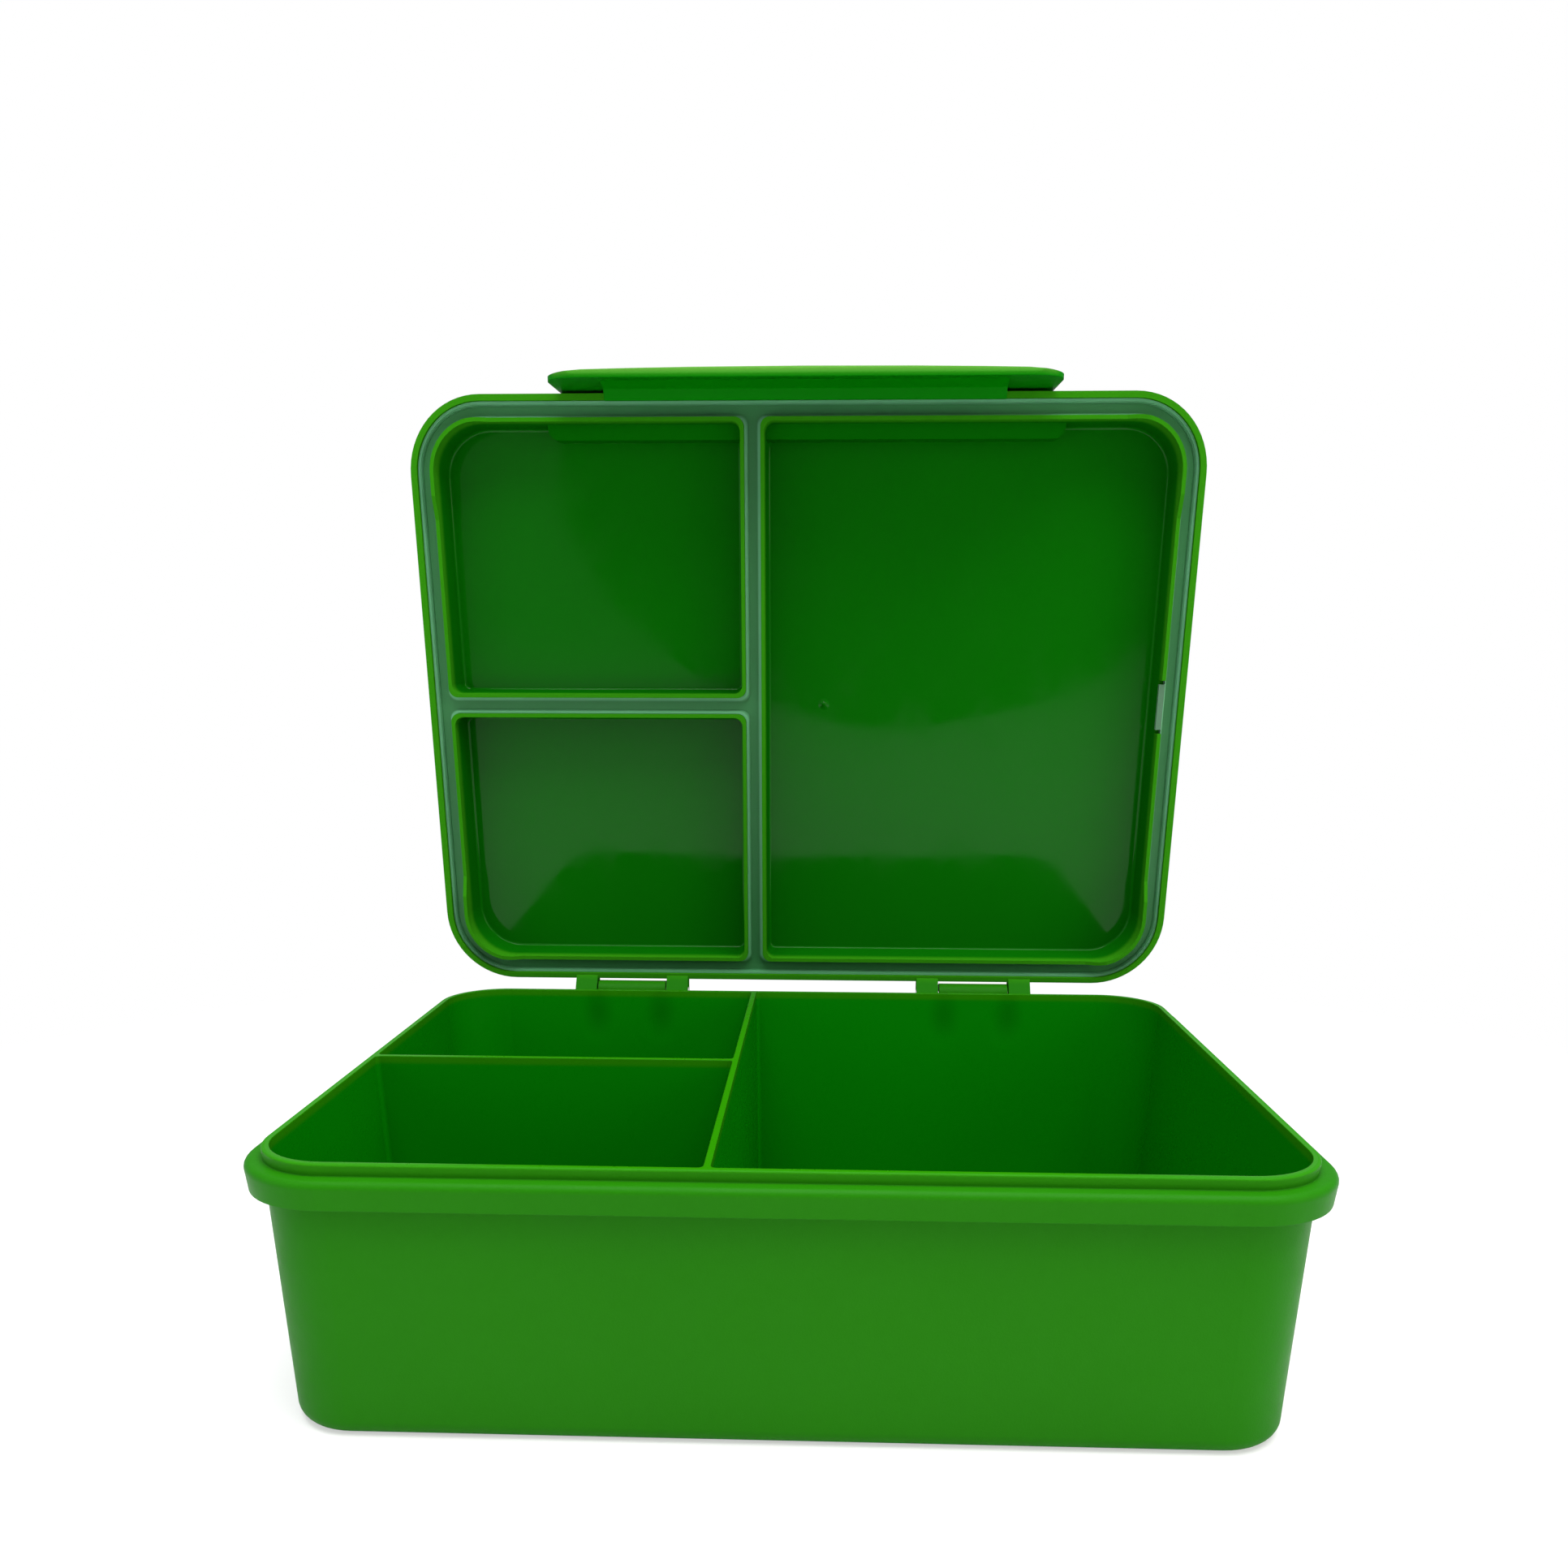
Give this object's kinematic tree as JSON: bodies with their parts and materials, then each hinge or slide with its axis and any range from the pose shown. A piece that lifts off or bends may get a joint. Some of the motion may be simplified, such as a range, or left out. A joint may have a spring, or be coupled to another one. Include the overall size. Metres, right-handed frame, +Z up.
{
  "type": "lunch box",
  "caption": "Hinged plastic lunch box with a divided tub, a lid with a channel seal that presses on rim and dividers, and a wide snap latch on the front.",
  "frame": {"origin": "centre of the tub's footprint, on the surface that it stands on", "axes": "+Z up, +Y towards the rear hinges, +X to the right seen from the latch side"},
  "size_m": [0.2216, 0.1826, 0.2325],
  "materials": {
    "tub_plastic": "green polypropylene, fine spark-eroded matt outside, smoother inside",
    "lid_plastic": "green polypropylene, satin gloss inside",
    "seal_silicone": "translucent silicone that takes on the lid's green",
    "latch_plastic": "green polypropylene, satin",
    "pin_steel": "drawn stainless steel"
  },
  "bodies": {
    "tub": {"tub": "tub_plastic"},
    "lid": {"lid": "lid_plastic", "lid_seal": "seal_silicone", "hinge_pin_left": "pin_steel", "hinge_pin_right": "pin_steel", "latch_pin_left": "pin_steel", "latch_pin_right": "pin_steel"},
    "latch": {"latch": "latch_plastic"}
  },
  "joints": [
    {"name": "lid_hinge", "type": "hinge", "parent": "tub", "child": "lid", "pos_m": [0, 0.0871, 0.05925], "axis": [1, 0, 0], "range_deg": [0, 86.9]},
    {"name": "latch_hinge", "type": "hinge", "parent": "lid", "child": "latch", "pos_m": [0, 0.08729, 0.225], "axis": [-1, 0, 0], "range_deg": [0, 115]}
  ]
}
